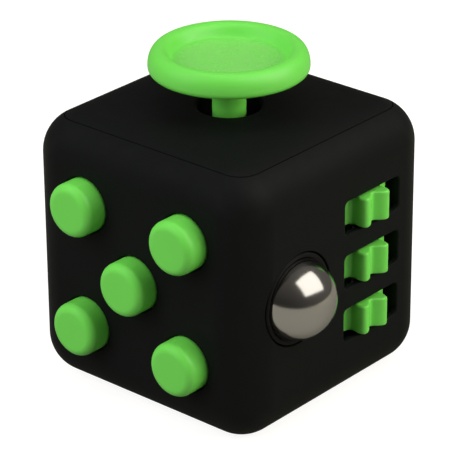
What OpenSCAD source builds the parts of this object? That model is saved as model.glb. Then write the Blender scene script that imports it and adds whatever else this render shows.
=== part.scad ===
// Fidget cube: a rounded square housing with a different hand toy in each face.
// Front: five push buttons.  Right: three thumb gears and a steel ball.  Top: a tilting joystick.
// Back: a two-way rocker.  Left: a clicking dial.  Bottom: a smooth thumb dish, which the cube rests on.
// Millimetres, +Z up, origin at the middle of the bottom face.

/* [Body] */
// Length of each edge of the cube
cube_w = 33; // [33:0.5:42]
// Radius of the rounded edges and corners
edge_r = 5; // [4:0.25:6]
// Thickness of the moulded walls
wall = 3.5; // [3.3:0.1:4.2]

/* [Top cover] */
// Thickness of the cover that closes the top
cover_t = 2.6; // [2.4:0.1:3]
// Angle round the edge rounding at which the cover meets the body, from straight up
seam_angle = 28; // [22:1:34]
// Width of the fine line between the cover and the body
seam_gap = 0.12; // [0.06:0.02:0.2]
// Depth of the skirt that snaps inside the walls
skirt_h = 2; // [1.6:0.1:2.2]

/* [Click buttons] */
// Diameter of a button
button_d = 6.4; // [5:0.1:7.8]
// How far a button stands out of the face
button_rise = 2.65; // [1.8:0.05:3.5]
// Radius round the top edge of a button
button_round = 1; // [0.4:0.1:1.2]
// Distance between the corner buttons, across and up
button_pitch = 15; // [13.5:0.5:16]
// How far a button presses in
button_travel = 1; // [0.6:0.1:1]

/* [Joystick] */
// Diameter of the joystick's disc
disc_d = 18.4; // [15:0.2:22]
// Thickness of the disc's round rim
rim_t = 2.7; // [2.4:0.1:3.2]
// Gap between the top of the cube and the disc
disc_lift = 4.3; // [4:0.1:6]
// Diameter of the joystick's stem
stem_d = 3.9; // [3.2:0.1:4.2]
// Diameter of the hole that the stem leans in
stem_hole_d = 7.3; // [7.1:0.1:8.2]
// Depth of the tilting point below the top of the cube
pivot_depth = 7.5; // [7:0.1:8]

/* [Roll gears] */
// Diameter of a gear over its teeth
gear_d = 8.3; // [6.9:0.1:8.6]
// Number of teeth on a gear
gear_teeth = 7; // [6:1:9]
// Depth of the waves between the teeth
tooth_depth = 1.28; // [0.8:0.02:1.3]
// Thickness of a gear
gear_t = 3.6; // [2.8:0.1:4.4]
// Distance between one gear and the next
gear_pitch = 6.75; // [6.3:0.05:6.9]
// How far a gear stands out of the face
gear_out = 1.45; // [0.9:0.05:1.6]
// Place of the gears across the face, from its middle
gear_side = 5.6; // [5:0.1:5.8]
// Diameter of the steel shaft that the gears turn on
shaft_d = 2; // [1.6:0.1:2.2]

/* [Roll ball] */
// Diameter of the steel ball
ball_d = 9.6; // [8:0.1:9.7]
// How far the ball stands out of the face
ball_out = 4.2; // [3.4:0.1:4.3]
// Place of the ball across the face, from its middle
ball_side = -7.5; // [-7.7:0.1:-7.4]
// How far the ball presses in
ball_travel = 1; // [0.6:0.1:1]

/* [Flip rocker] */
// Width of the rocker
rocker_w = 9; // [7:0.1:9.4]
// Length of the rocker
rocker_l = 14; // [11:0.1:14.4]
// Lean of the rocker each side of level
rocker_angle = 8; // [6:0.5:9]
// Diameter of the pin that the rocker turns on
rocker_pin_d = 1.5; // [1.2:0.1:1.6]

/* [Spin dial] */
// Diameter of the dial
dial_d = 14; // [12:0.2:17]
// How far the dial stands out of the face
dial_rise = 1.65; // [1:0.05:2.2]
// Number of clicks in one turn of the dial
dial_clicks = 12; // [8:1:16]

/* [Thumb dish] */
// Width of the dish across its narrow way
dish_w = 16; // [12:0.5:19]
// How much longer the dish is than it is wide
dish_extra = 4; // [0:0.5:5]
// Depth of the dish
dish_depth = 1.6; // [1:0.1:1.7]

/* [Hidden] */
$fn = 64;

cut = 0.2;                       // how far a cutting shape runs past the face it cuts
run_gap = 0.05;                  // radial gap of a part that turns or slides in its hole
thin_gap = 0.05;                 // gap between faces that meet when a part is at rest
side_gap = 0.15;                 // gap round a part that moves in a hole of its own
loose_gap = 0.1;                 // gap beside a part that drops loosely into place
close_gap = 0.02;                // radial gap of a screw or pin in the hole that holds it
half = cube_w / 2;
cavity_half = half - wall;
cover_half = half - edge_r + edge_r * sin(seam_angle);
cover_corner = edge_r * sin(seam_angle);
cover_z = cube_w - cover_t;      // height of the ledge that the cover sits on
skirt_half = cavity_half - loose_gap;
skirt_t = 1.2;
skirt_root = 0.3;                // how far the skirt runs up into the cover
snap_r = 0.3;                    // radius of the snap beads on the skirt
snap_l = 8;
snap_z = cover_z - 1.2;

button_r = button_d / 2;
flange_r = button_r + 0.7;       // flange that keeps a button in its hole
flange_t = 0.8;
click_skin = wall - flange_t - button_travel - side_gap; // wall left in front of a button's flange
button_pocket_r = flange_r + 0.3;
nub_r = 1.2;                     // nub under a button that presses its dome
nub_h = 0.5;
mat_t = 0.6;
mat_dome_r = flange_r - 0.9;
mat_dome_wall = 0.3;
plate_t = 1.4;
click_board_w = 2 * (button_pitch / 2 + button_pocket_r + loose_gap);
click_board_round = 3;
flange_top = -click_skin - thin_gap;
nub_tip = flange_top - flange_t - nub_h;
mat_dome_top = nub_tip - thin_gap;
plate_top = -wall - mat_t;
board_back = wall + mat_t + plate_t;
snap_dome_r = mat_dome_r - mat_dome_wall - 0.2;
snap_dome_h = 0.5;
snap_dome_t = 0.12;
button_places = [[-1, 1], [1, 1], [0, 0], [-1, -1], [1, -1]];
snap_dome_places = [0, 2, 4];    // the buttons that click; the others press silently
click_screw_places = [[0, 1], [1, 0], [0, -1], [-1, 0]];

screw_r = 0.8;
screw_head_r = 1.4;
screw_head_h = 0.8;
screw_bite = 1.9;                // how deep a screw's hole goes into its wall
screw_spare = 0.2;               // how far a screw stops short of the end of its hole
cross_w = 0.4;                   // width and depth of the cross in a screw's head
cross_l = 1.7;

disc_r = disc_d / 2;
rim_round = 1.2;                 // radius over the top of the rim
rim_w = 2.9;                     // width of the rim, with its slope down to the floor
rim_low_round = 0.5;             // radius under the edge of the rim
disc_floor_t = 1.3;              // thickness of the disc inside its rim
stem_r = stem_d / 2;
stem_hole_r = stem_hole_d / 2;
stem_root = 0.5;                 // how far the stem runs up into the disc
pivot_z = cube_w - pivot_depth;
stem_pin_r = 0.5;
stem_pin_half = 4.1;
stem_tail = 2.2;                 // length of the stem below the tilting point
foot_r = 2.7;                    // foot that the centring spring pushes on
foot_t = 0.8;
ring_in_r = stem_r + 0.75;
ring_out_r = 4.2;
ring_h = 2.4;
trunnion_r = 0.8;
trunnion_half = 5.9;
frame_in_r = 4.9;
frame_out_r = 6.3;
frame_floor_t = 1;
spring_room = 3;                 // height of the space that the centring spring works in
foot_z = pivot_z - stem_tail - foot_t;
frame_floor_z = foot_z - spring_room;
ear_place = 8.1;                 // distance of the frame's screws from the middle
ear_r = 1.9;
ear_t = 2;
boot_t = 0.5;
boot_drop = 1.2;                 // depth of the boot's pleat
coil_r = 2;
coil_wire = 0.5;
coil_turns = 3.5;
coil_sides = 8;
coil_steps = 14;                 // rings of the coil in each turn

gear_r = gear_d / 2;
gear_z = gear_out - gear_r;      // depth of the gears' axis behind the face
gear_phase = 21;                 // turn of the gears at rest, from straight out of the face
gear_points = 112;               // points round a gear's waves
hub_step = 0.6;                  // how far a gear's hub stands out each side of the gear
hub_half = gear_t / 2 + hub_step;
slot_gap = 0.25;                 // gap between a gear and its slot, above and below
slot_l = 9.7;
slot_round = 0.6;
shaft_r = shaft_d / 2;
hub_r = shaft_r + 0.7;
roll_skin = -gear_z - hub_r - 0.3; // wall left in front of the gears' hubs
gear_room_half = gear_pitch + hub_half + loose_gap;
shaft_seat = 1.6;                // length of shaft held at each end
shaft_half = gear_room_half + shaft_seat;
gear_back_room = 0.4;            // room behind the gears

ball_r = ball_d / 2;
ball_z = ball_out - ball_r;
cup_wall = 0.85;
cup_lip = 0.6;                   // width of the cup's rim round the ball
cup_r = ball_r + cup_lip;
cup_bowl_r = ball_r + run_gap + cup_wall;
cup_flat = 0.05;                 // how much of the cup's round back is flat
cup_back = ball_z - cup_bowl_r + cup_flat;
cup_ear_l = 2.25;
cup_ear_half = cup_r + cup_ear_l;
cup_ear_w = 3;
cup_ear_t = 0.8;
press_room = 0.3;                // room left behind the cup when it is pressed right in
cup_side_gap = 0.35;             // gap round the cup where it presses in beside the click board
board_room = half + ball_side - board_back; // from the ball's axis to the back of the click board
cup_reach = ball_z - sqrt(max(0, pow(cup_bowl_r, 2) - pow(board_room, 2))) - ball_travel - 0.25;
spring_strip_w = 0.3;            // width of the cone spring's wire
spring_tip_r = 1.2;
spring_base_r = min(cup_r - 2.05, board_room - loose_gap);
carrier_back_t = 0.95;
carrier_floor = min(cup_back - ball_travel - press_room, gear_out - gear_d - gear_back_room);
carrier_back = carrier_floor - carrier_back_t;
carrier_flange_t = 2;            // thickness of the carrier under its screw heads
carrier_rim = 0.9;
carrier_low = -half + board_back + 0.2;
carrier_high = gear_side + slot_l / 2 + carrier_rim;
carrier_half = shaft_half + 0.95;
cup_room = 0.65;                 // gap round the cup inside the carrier
comb_room = 0.6;
comb_t = 0.15;
comb_finger_h = 2.2;
comb_spine_w = 0.9;
roll_screw_up = carrier_half - screw_head_r - 0.2;
roll_screw_places = [for (x = [ball_side + 1.2, gear_side + 4], s = [-1, 1]) [x, s * roll_screw_up]];

rocker_room = 0.2;               // gap each side of the rocker
rocker_end_room = 0.7;           // gap at each end of the rocker, for its swing
rocker_corner = 0.4;             // radius in the corners of the rocker's opening
rocker_pivot = -2.4;             // depth of the rocker's pin behind the face
rocker_hub_r = 1.9;
rocker_mid = 2.5;                // height of the rocker's middle above its pin
rocker_end = 3.9;                // height of the rocker's ends above its pin
rocker_low = 0.5;                // height of the rocker's underside above its pin
rocker_tail = 4.9;               // length of the tail that works the leaf spring
rocker_tail_w = 1.4;
rocker_tip_r = 0.45;
rocker_nose_r = 1;               // radius over each end of the rocker
rocker_pin_r = rocker_pin_d / 2;
rocker_pin_half = rocker_w / 2 + 2.2;
leaf_t = 0.2;
leaf_top = rocker_pivot - rocker_tail - rocker_tip_r - thin_gap;
leaf_half = 5;
leaf_w = 3;
leaf_ridge = 0.3;                // height of the ridge that the rocker's tail snaps over
leaf_ridge_half = 0.35;
bracket_wall = 1.3;
bracket_end_t = 0.8;
pin_foot_w = 1.2;                // foot that holds the rocker's pin up in its seat
bracket_half_w = rocker_w / 2 + 1.9;
bracket_half_l = 6;
bracket_floor = leaf_top - leaf_t - 0.8;
bracket_back = bracket_floor - bracket_end_t;
flip_screw_place = 9.9;
flip_flange_t = 1.2;
flip_flange_w = 5;
flip_flange_end = 1.9;

dial_r = dial_d / 2;
dial_recess = 1.25;              // depth of the round seat that the dial sits in
dial_hub_r = 2.4;
dial_room = 0.25;
dial_grips = 24;
dial_grip_r = 0.7;               // radius of the hollows round the dial's edge
dial_grip_out = 0.45;            // how far outside the edge the hollows are centred
dial_grip_floor = 0.2;
dial_dimple_r = 2.2;
dial_dimple_depth = 1;
dial_dimple_place = dial_r - 3.3;
wheel_r = 5.2;
wheel_t = 1.6;
wheel_wave = 0.5;
wheel_points = 144;
wheel_top = -wall - 0.2;
detent_post_r = 0.7;
detent_post = [5.6, -6.3];
detent_strip_t = 0.15;
detent_strip_w = 1;
detent_bump_r = 0.4;
detent_eye_t = 0.35;             // wall of the eyes that hold the strip on its posts

// Each face has its own placing module: local X and Y lie across the face, local Z points out of it.
module on_front() translate([0, -half, half]) rotate([90, 0, 0]) children();
module on_right() translate([half, 0, half]) rotate([90, 0, 90]) children();
module on_back() translate([0, half, half]) rotate([90, 0, 180]) children();
module on_left() translate([-half, 0, half]) rotate([90, 0, -90]) children();
module on_top() translate([0, 0, cube_w]) children();

module black_plastic() color([0.09, 0.09, 0.09]) children();
module green_plastic() color([0.42, 0.83, 0.3]) children();
module steel() color([0.72, 0.72, 0.7]) children();
module grey_plastic() color([0.3, 0.31, 0.33]) children();
module silicone() color([0.75, 0.76, 0.74]) children();

// Solid block with round edges and corners, standing on z = 0.
module rounded_block(w, r) {
    i = w - 2 * r;
    translate([-i / 2, -i / 2, 0]) cube([i, i, w]);
    translate([-w / 2, -i / 2, r]) cube([w, i, i]);
    translate([-i / 2, -w / 2, r]) cube([i, w, i]);
    for (x = [-1, 1], y = [-1, 1]) translate([x * i / 2, y * i / 2, r]) cylinder(r = r, h = i);
    for (s = [-1, 1], z = [r, w - r]) {
        translate([-i / 2, s * i / 2, z]) rotate([0, 90, 0]) cylinder(r = r, h = i);
        translate([s * i / 2, i / 2, z]) rotate([90, 0, 0]) cylinder(r = r, h = i);
        for (t = [-1, 1]) translate([s * i / 2, t * i / 2, z]) sphere(r = r);
    }
}

// Flat rectangle with round corners, centred.
module rounded_rect(w, l, r) {
    square([w - 2 * r, l], center = true);
    square([w, l - 2 * r], center = true);
    for (x = [-1, 1], y = [-1, 1]) translate([x * (w / 2 - r), y * (l / 2 - r)]) circle(r = r);
}

// Slab between two depths z0 (lower) and z1 with the given outline.
module slab(z0, z1) translate([0, 0, z0]) linear_extrude(height = z1 - z0) children();

// Box between two corners.
module span_box(a, b) translate(a) cube(b - a);

// Screw whose head's top is at z = 0 and whose shank points up by the given length.
module screw(shank) {
    difference() {
        cylinder(r = screw_head_r, h = screw_head_h);
        for (a = [0, 90])
            rotate([0, 0, a]) translate([-cross_l / 2, -cross_w / 2, -cut])
                cube([cross_l, cross_w, cut + cross_w]);
    }
    translate([0, 0, screw_head_h]) cylinder(r = screw_r, h = shank);
}

// Hole for a screw whose head's top is at z = 0, with room for the driver behind it.
module screw_hole(shank, driver) {
    translate([0, 0, -driver]) cylinder(r = screw_head_r + loose_gap, h = driver + screw_head_h);
    cylinder(r = screw_r + close_gap, h = shank + cut);
}

// ---------------------------------------------------------------- housing

module cover_outline(grow) rounded_rect(2 * (cover_half + grow), 2 * (cover_half + grow), cover_corner + grow);

module dish_cut() {
    r = (pow(dish_w / 2, 2) + pow(dish_depth, 2)) / (2 * dish_depth);
    translate([0, 0, dish_depth - r]) {
        for (s = [-1, 1]) translate([s * dish_extra / 2, 0, 0]) sphere(r = r, $fn = 128);
        translate([-dish_extra / 2, 0, 0]) rotate([0, 90, 0]) cylinder(r = r, h = dish_extra, $fn = 128);
    }
}

module click_cuts() {
    for (p = button_places) translate([p[0] * button_pitch / 2, p[1] * button_pitch / 2, 0]) {
        slab(-wall - cut, cut) circle(r = button_r + side_gap);
        slab(-wall - cut, -click_skin) circle(r = button_pocket_r);
    }
    for (p = click_screw_places) translate([p[0] * button_pitch / 2, p[1] * button_pitch / 2, 0])
        slab(-wall - cut, -wall + screw_bite) circle(r = screw_r + close_gap);
}

module gear_slot_outline() rounded_rect(slot_l, gear_t + 2 * slot_gap, slot_round);

module roll_cuts() {
    translate([ball_side, 0, 0]) slab(-wall - cut, cut) circle(r = cup_r + side_gap);
    for (i = [-1:1]) translate([gear_side, i * gear_pitch, 0]) slab(-wall, cut) gear_slot_outline();
    span_box([gear_side - slot_l / 2 - loose_gap, -gear_room_half, -wall - cut],
             [gear_side + slot_l / 2 + loose_gap, gear_room_half, -roll_skin]);
    translate([gear_side, shaft_half + thin_gap, gear_z]) rotate([90, 0, 0])
        cylinder(r = shaft_r, h = 2 * (shaft_half + thin_gap));
    span_box([gear_side - shaft_r, -shaft_half - thin_gap, -wall - cut],
             [gear_side + shaft_r, shaft_half + thin_gap, gear_z]);
    for (p = roll_screw_places) translate([p[0], p[1], 0])
        slab(-wall - cut, -wall + screw_bite) circle(r = screw_r + close_gap);
}

module flip_cuts() {
    slab(-wall - cut, cut)
        rounded_rect(rocker_w + 2 * rocker_room, rocker_l + 2 * rocker_end_room, rocker_corner);
    translate([-rocker_pin_half, 0, rocker_pivot]) rotate([0, 90, 0])
        cylinder(r = rocker_pin_r, h = 2 * rocker_pin_half);
    span_box([-rocker_pin_half, -rocker_pin_r, -wall - cut], [rocker_pin_half, rocker_pin_r, rocker_pivot]);
    for (s = [-1, 1]) translate([0, s * flip_screw_place, 0])
        slab(-wall - cut, -wall + screw_bite) circle(r = screw_r + close_gap);
}

module spin_cuts() {
    slab(-dial_recess, cut) circle(r = dial_r + dial_room);
    slab(-wall - cut, cut) circle(r = dial_hub_r + run_gap);
}

module snap_bars(r) {
    for (a = [0, 90, 180, 270]) rotate([0, 0, a])
        translate([-snap_l / 2, skirt_half, snap_z]) rotate([0, 90, 0]) cylinder(r = r, h = snap_l);
}

module body_shell() black_plastic() {
    difference() {
        rounded_block(cube_w, edge_r);
        translate([0, 0, cover_z]) linear_extrude(height = cover_t + cut) cover_outline(seam_gap);
        translate([-cavity_half, -cavity_half, wall]) cube([2 * cavity_half, 2 * cavity_half, cube_w]);
        dish_cut();
        on_front() click_cuts();
        on_right() roll_cuts();
        on_back() flip_cuts();
        on_left() spin_cuts();
        snap_bars(snap_r + loose_gap);
    }
    on_left() for (s = [-1, 1]) translate([s * detent_post[0], detent_post[1], 0])
        slab(wheel_top - wheel_t, -wall + cut) circle(r = detent_post_r);
}

module top_cover() black_plastic() {
    difference() {
        union() {
            intersection() {
                rounded_block(cube_w, edge_r);
                translate([0, 0, cover_z]) linear_extrude(height = cover_t + cut) cover_outline(0);
            }
            difference() {
                union() {
                    translate([-skirt_half, -skirt_half, cover_z - skirt_h])
                        cube([2 * skirt_half, 2 * skirt_half, skirt_h + skirt_root]);
                    snap_bars(snap_r);
                }
                inner = skirt_half - skirt_t;
                translate([-inner, -inner, cover_z - skirt_h - cut]) cube([2 * inner, 2 * inner, skirt_h + cut]);
            }
        }
        cylinder(r = stem_hole_r, h = cube_w + cut);
        for (s = [-1, 1]) translate([0, s * ear_place, cover_z - cut]) 
            cylinder(r = screw_r + close_gap, h = cut + screw_bite);
    }
}

// ---------------------------------------------------------------- click face

module click_button(i) green_plastic() on_front()
    translate([button_places[i - 1][0] * button_pitch / 2, button_places[i - 1][1] * button_pitch / 2, 0])
    rotate_extrude() {
        translate([0, flange_top]) square([button_r - button_round, button_rise - flange_top]);
        translate([0, flange_top]) square([button_r, button_rise - button_round - flange_top]);
        intersection() {
            translate([button_r - button_round, button_rise - button_round]) circle(r = button_round);
            square([button_r, button_rise]);
        }
        translate([0, flange_top - flange_t]) square([flange_r, flange_t]);
        translate([0, nub_tip]) square([nub_r, nub_h + flange_t]);
    }

module click_board_outline() rounded_rect(click_board_w, click_board_w, click_board_round);

// Room beside the click board for the ball's cup, which presses in past its edge.
module cup_notch() translate([half + cup_reach, 0, -half - ball_side]) rotate([0, 90, 0])
    cylinder(r = cup_r + cup_side_gap, h = -wall - cup_reach);

module click_mat() silicone() on_front() difference() {
    union() {
        slab(-wall - mat_t, -wall) click_board_outline();
        for (p = button_places) translate([p[0] * button_pitch / 2, p[1] * button_pitch / 2, 0])
            slab(-wall - mat_t, mat_dome_top) circle(r = mat_dome_r);
    }
    for (p = button_places) translate([p[0] * button_pitch / 2, p[1] * button_pitch / 2, 0])
        slab(-wall - mat_t - cut, mat_dome_top - mat_dome_wall) circle(r = mat_dome_r - mat_dome_wall);
    for (p = click_screw_places) translate([p[0] * button_pitch / 2, p[1] * button_pitch / 2, 0])
        slab(-wall - mat_t - cut, -wall + cut) circle(r = screw_r + loose_gap);
    cup_notch();
}

// Thin domed disc of spring steel, resting on z = 0.
module snap_dome() {
    big = (pow(snap_dome_r, 2) + pow(snap_dome_h, 2)) / (2 * snap_dome_h);
    rotate_extrude() intersection() {
        translate([0, snap_dome_h - big]) difference() {
            circle(r = big, $fn = 180);
            circle(r = big - snap_dome_t, $fn = 180);
        }
        square([snap_dome_r, snap_dome_h + cut]);
    }
}

module snap_domes() steel() on_front()
    for (n = snap_dome_places)
        translate([button_places[n][0] * button_pitch / 2, button_places[n][1] * button_pitch / 2, plate_top])
            snap_dome();

module click_plate() grey_plastic() on_front() difference() {
    slab(plate_top - plate_t, plate_top) click_board_outline();
    for (p = click_screw_places)
        translate([p[0] * button_pitch / 2, p[1] * button_pitch / 2, plate_top - plate_t]) screw_hole(plate_t, cut);
    cup_notch();
}

module click_screws() steel() on_front()
    for (p = click_screw_places)
        translate([p[0] * button_pitch / 2, p[1] * button_pitch / 2, plate_top - plate_t])
            screw(plate_t - screw_head_h + mat_t + screw_bite - screw_spare);

// ---------------------------------------------------------------- joystick

// Half of the disc's section: a flat floor with a thick rim, rounded more over the top than underneath.
module disc_outline() {
    top_z = rim_t - rim_round;
    hull() {
        translate([disc_r - rim_round, top_z]) circle(r = rim_round, $fn = 48);
        translate([disc_r - rim_w, 0]) square([rim_round, disc_floor_t]);
    }
    translate([disc_r - rim_low_round, rim_low_round]) circle(r = rim_low_round, $fn = 32);
    translate([disc_r - rim_round, rim_low_round]) square([rim_round, top_z - rim_low_round]);
    square([disc_r - rim_low_round, disc_floor_t]);
}

module joystick() green_plastic() on_top() difference() {
    union() {
        translate([0, 0, disc_lift]) rotate_extrude($fn = 128) disc_outline();
        slab(-pivot_depth - stem_tail, disc_lift + stem_root) circle(r = stem_r);
        slab(-pivot_depth - stem_tail - foot_t, -pivot_depth - stem_tail) circle(r = foot_r);
    }
    translate([0, stem_r + cut, -pivot_depth]) rotate([90, 0, 0]) cylinder(r = stem_pin_r, h = 2 * (stem_r + cut));
}

module stem_pin() steel()
    translate([0, stem_pin_half, pivot_z]) rotate([90, 0, 0]) cylinder(r = stem_pin_r, h = 2 * stem_pin_half);

module gimbal_ring() grey_plastic() translate([0, 0, pivot_z]) difference() {
    union() {
        translate([0, 0, -ring_h / 2]) cylinder(r = ring_out_r, h = ring_h);
        translate([-trunnion_half, 0, 0]) rotate([0, 90, 0]) cylinder(r = trunnion_r, h = 2 * trunnion_half);
    }
    translate([0, 0, -ring_h]) cylinder(r = ring_in_r, h = 2 * ring_h);
    translate([0, ring_out_r + cut, 0]) rotate([90, 0, 0])
        cylinder(r = stem_pin_r + run_gap, h = 2 * (ring_out_r + cut));
}

module joystick_frame() grey_plastic() difference() {
    union() {
        translate([0, 0, frame_floor_z - frame_floor_t])
            cylinder(r = frame_out_r, h = cover_z - frame_floor_z + frame_floor_t);
        for (s = [-1, 1]) translate([0, 0, cover_z - ear_t]) linear_extrude(height = ear_t) {
            translate([0, s * ear_place]) circle(r = ear_r);
            translate([-ear_r, (s - 1) * ear_place / 2]) square([2 * ear_r, ear_place]);
        }
    }
    translate([0, 0, frame_floor_z]) cylinder(r = frame_in_r, h = cube_w);
    translate([-frame_out_r - cut, 0, pivot_z]) rotate([0, 90, 0])
        cylinder(r = trunnion_r + run_gap, h = 2 * (frame_out_r + cut));
    translate([-frame_out_r - cut, -trunnion_r - run_gap, pivot_z])
        cube([2 * (frame_out_r + cut), 2 * (trunnion_r + run_gap), cube_w]);
    for (s = [-1, 1]) translate([0, s * ear_place, cover_z - ear_t]) screw_hole(ear_t, cut);
}

module joystick_screws() steel()
    for (s = [-1, 1]) translate([0, s * ear_place, cover_z - ear_t]) 
        screw(ear_t - screw_head_h + screw_bite - screw_spare);

// Ring of points round the wire, a share t of the way along a coil of height h.
function coil_ring(t, h) = [for (k = [0:coil_sides - 1])
    let (a = 360 * k / coil_sides, b = 360 * coil_turns * t, r = coil_r + coil_wire / 2 * cos(a))
    [r * cos(b), r * sin(b), coil_wire / 2 + (h - coil_wire) * t + coil_wire / 2 * sin(a)]];

// Coil spring of the given height, standing on z = 0.
module coil_spring(h) {
    n = round(coil_turns * coil_steps);
    points = [for (i = [0:n]) each coil_ring(i / n, h)];
    sides = [for (i = [0:n - 1], k = [0:coil_sides - 1])
        let (a = i * coil_sides + k, b = i * coil_sides + (k + 1) % coil_sides)
        [a, a + coil_sides, b + coil_sides, b]];
    ends = [[for (k = [0:coil_sides - 1]) k], [for (k = [0:coil_sides - 1]) n * coil_sides + coil_sides - 1 - k]];
    polyhedron(points = points, faces = concat(sides, ends), convexity = 6);
}

module centring_spring() steel()
    translate([0, 0, frame_floor_z + thin_gap]) coil_spring(spring_room - 2 * thin_gap);

module dust_boot() color([0.05, 0.05, 0.05]) translate([0, 0, cover_z]) rotate_extrude() {
    translate([stem_r + thin_gap, -boot_t - boot_drop]) square([boot_t, boot_t + boot_drop - thin_gap]);
    translate([stem_r + thin_gap, -boot_t - boot_drop]) square([frame_in_r - stem_r - 2 * thin_gap, boot_t]);
    translate([frame_in_r - boot_t - thin_gap, -boot_t - boot_drop]) square([boot_t, boot_t + boot_drop - thin_gap]);
}

// ---------------------------------------------------------------- roll face

function wave(r, depth, teeth, count) = [for (i = [0:count - 1])
    let (a = 360 * i / count, q = r - depth * (1 - cos(teeth * a)) / 2) [q * cos(a), q * sin(a)]];

module roll_gear(i) green_plastic()
    translate([half + gear_z, gear_side, half + (2 - i) * gear_pitch]) difference() {
        union() {
            rotate([0, 0, gear_phase]) translate([0, 0, -gear_t / 2])
                linear_extrude(height = gear_t) polygon(wave(gear_r, tooth_depth, gear_teeth, gear_points));
            translate([0, 0, -hub_half]) cylinder(r = hub_r, h = 2 * hub_half);
        }
        translate([0, 0, -gear_pitch]) cylinder(r = shaft_r + run_gap, h = 2 * gear_pitch);
    }

module gear_shaft() steel()
    translate([half + gear_z, gear_side, half - shaft_half]) cylinder(r = shaft_r, h = 2 * shaft_half);

// The bump of each finger rests in the wave of its gear that is nearest to straight back.
valley_angle = gear_phase + 360 / gear_teeth * (floor((180 - gear_phase) / (360 / gear_teeth)) + 0.5);
valley_r = gear_r - tooth_depth;
valley_bend = pow(valley_r, 2) / (tooth_depth * pow(gear_teeth, 2) / 2 - valley_r); // radius of the hollow
comb_bump_r = valley_bend * 0.9;
bump_far = valley_r + comb_bump_r + thin_gap;
bump_z = gear_z + bump_far * cos(valley_angle);
bump_side = gear_side + bump_far * sin(valley_angle);
comb_side = gear_side - slot_l / 2 - comb_room / 2;
comb_z = carrier_floor + loose_gap;

module gear_detent_spring() steel() on_right() {
    comb_half = gear_room_half - 2 * loose_gap;
    root = comb_side + comb_spine_w / 2;
    span_box([comb_side, -comb_half, comb_z], [comb_side + comb_spine_w, comb_half, comb_z + comb_t]);
    for (i = [-1:1]) translate([0, i * gear_pitch + comb_finger_h / 2, 0]) rotate([90, 0, 0])
        linear_extrude(height = comb_finger_h) {
            translate([bump_side, bump_z]) circle(r = comb_bump_r, $fn = 32);
            polygon([[root, comb_z], [bump_side, bump_z - comb_bump_r],
                     [bump_side, bump_z - comb_bump_r + comb_t], [root, comb_z + comb_t]]);
        }
}

module steel_ball() steel() on_right() translate([ball_side, 0, ball_z]) sphere(r = ball_r, $fn = 96);

module ball_cup() color([0.06, 0.06, 0.06]) on_right() translate([ball_side, 0, 0]) difference() {
    union() {
        slab(-wall, -thin_gap) circle(r = cup_r);
        intersection() {
            translate([0, 0, ball_z]) sphere(r = cup_bowl_r, $fn = 96);
            slab(cup_back, -wall + loose_gap) circle(r = cup_r);
        }
        slab(-wall - thin_gap - cup_ear_t, -wall - thin_gap) square([cup_ear_w, 2 * cup_ear_half], center = true);
    }
    translate([0, 0, ball_z]) sphere(r = ball_r + run_gap, $fn = 96);
}

module ball_spring() steel() on_right() translate([ball_side, 0, 0]) rotate_extrude() {
    low = carrier_floor + thin_gap;
    high = cup_back - thin_gap;
    polygon([[spring_base_r - spring_strip_w, low], [spring_base_r, low],
             [spring_tip_r + spring_strip_w, high], [spring_tip_r, high]]);
}

module roll_carrier() grey_plastic() on_right() difference() {
    span_box([carrier_low, -carrier_half, carrier_back], [carrier_high, carrier_half, -wall]);
    span_box([gear_side - slot_l / 2 - comb_room, -gear_room_half, carrier_floor],
             [gear_side + slot_l / 2 + loose_gap, gear_room_half, -wall + cut]);
    translate([gear_side, shaft_half + thin_gap, gear_z]) rotate([90, 0, 0])
        cylinder(r = shaft_r, h = 2 * (shaft_half + thin_gap));
    translate([ball_side, 0, 0]) {
        slab(carrier_floor, -wall + cut) circle(r = cup_r + cup_room);
        slab(-wall - thin_gap - cup_ear_t - ball_travel - press_room, -wall + cut)
            square([cup_ear_w + 2 * press_room, 2 * (cup_ear_half + press_room)], center = true);
    }
    for (p = roll_screw_places) translate([p[0], p[1], -wall - carrier_flange_t])
        screw_hole(carrier_flange_t, -wall - carrier_back);
}

module roll_screws() steel() on_right()
    for (p = roll_screw_places) translate([p[0], p[1], -wall - carrier_flange_t])
        screw(carrier_flange_t - screw_head_h + screw_bite - screw_spare);

// ---------------------------------------------------------------- flip face

// Side outline of the rocker, level, with its pin at the origin: a shallow hollow between two raised ends.
module rocker_outline() {
    half_l = rocker_l / 2;
    rise = rocker_end - rocker_mid;
    hollow_r = (pow(half_l, 2) + pow(rise, 2)) / (2 * rise);
    difference() {
        union() {
            translate([-half_l, rocker_low]) square([rocker_l, rocker_end - rocker_low - rocker_nose_r]);
            translate([-half_l + rocker_nose_r, rocker_low])
                square([rocker_l - 2 * rocker_nose_r, rocker_end - rocker_low]);
            for (s = [-1, 1]) translate([s * (half_l - rocker_nose_r), rocker_end - rocker_nose_r])
                circle(r = rocker_nose_r);
        }
        translate([0, rocker_mid + hollow_r]) circle(r = hollow_r, $fn = 180);
    }
    circle(r = rocker_hub_r);
    translate([-rocker_tail_w / 2, -rocker_tail]) square([rocker_tail_w, rocker_tail]);
    translate([0, -rocker_tail]) circle(r = rocker_tip_r);
}

module flip_rocker() green_plastic() on_back() translate([0, 0, rocker_pivot]) rotate([rocker_angle, 0, 0])
    difference() {
        rotate([90, 0, 90]) translate([0, 0, -rocker_w / 2]) linear_extrude(height = rocker_w) rocker_outline();
        translate([-rocker_w, 0, 0]) rotate([0, 90, 0]) cylinder(r = rocker_pin_r + run_gap, h = 2 * rocker_w);
    }

module flip_pin() steel() on_back()
    translate([-rocker_pin_half + loose_gap, 0, rocker_pivot]) rotate([0, 90, 0])
        cylinder(r = rocker_pin_r, h = 2 * (rocker_pin_half - loose_gap));

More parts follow.
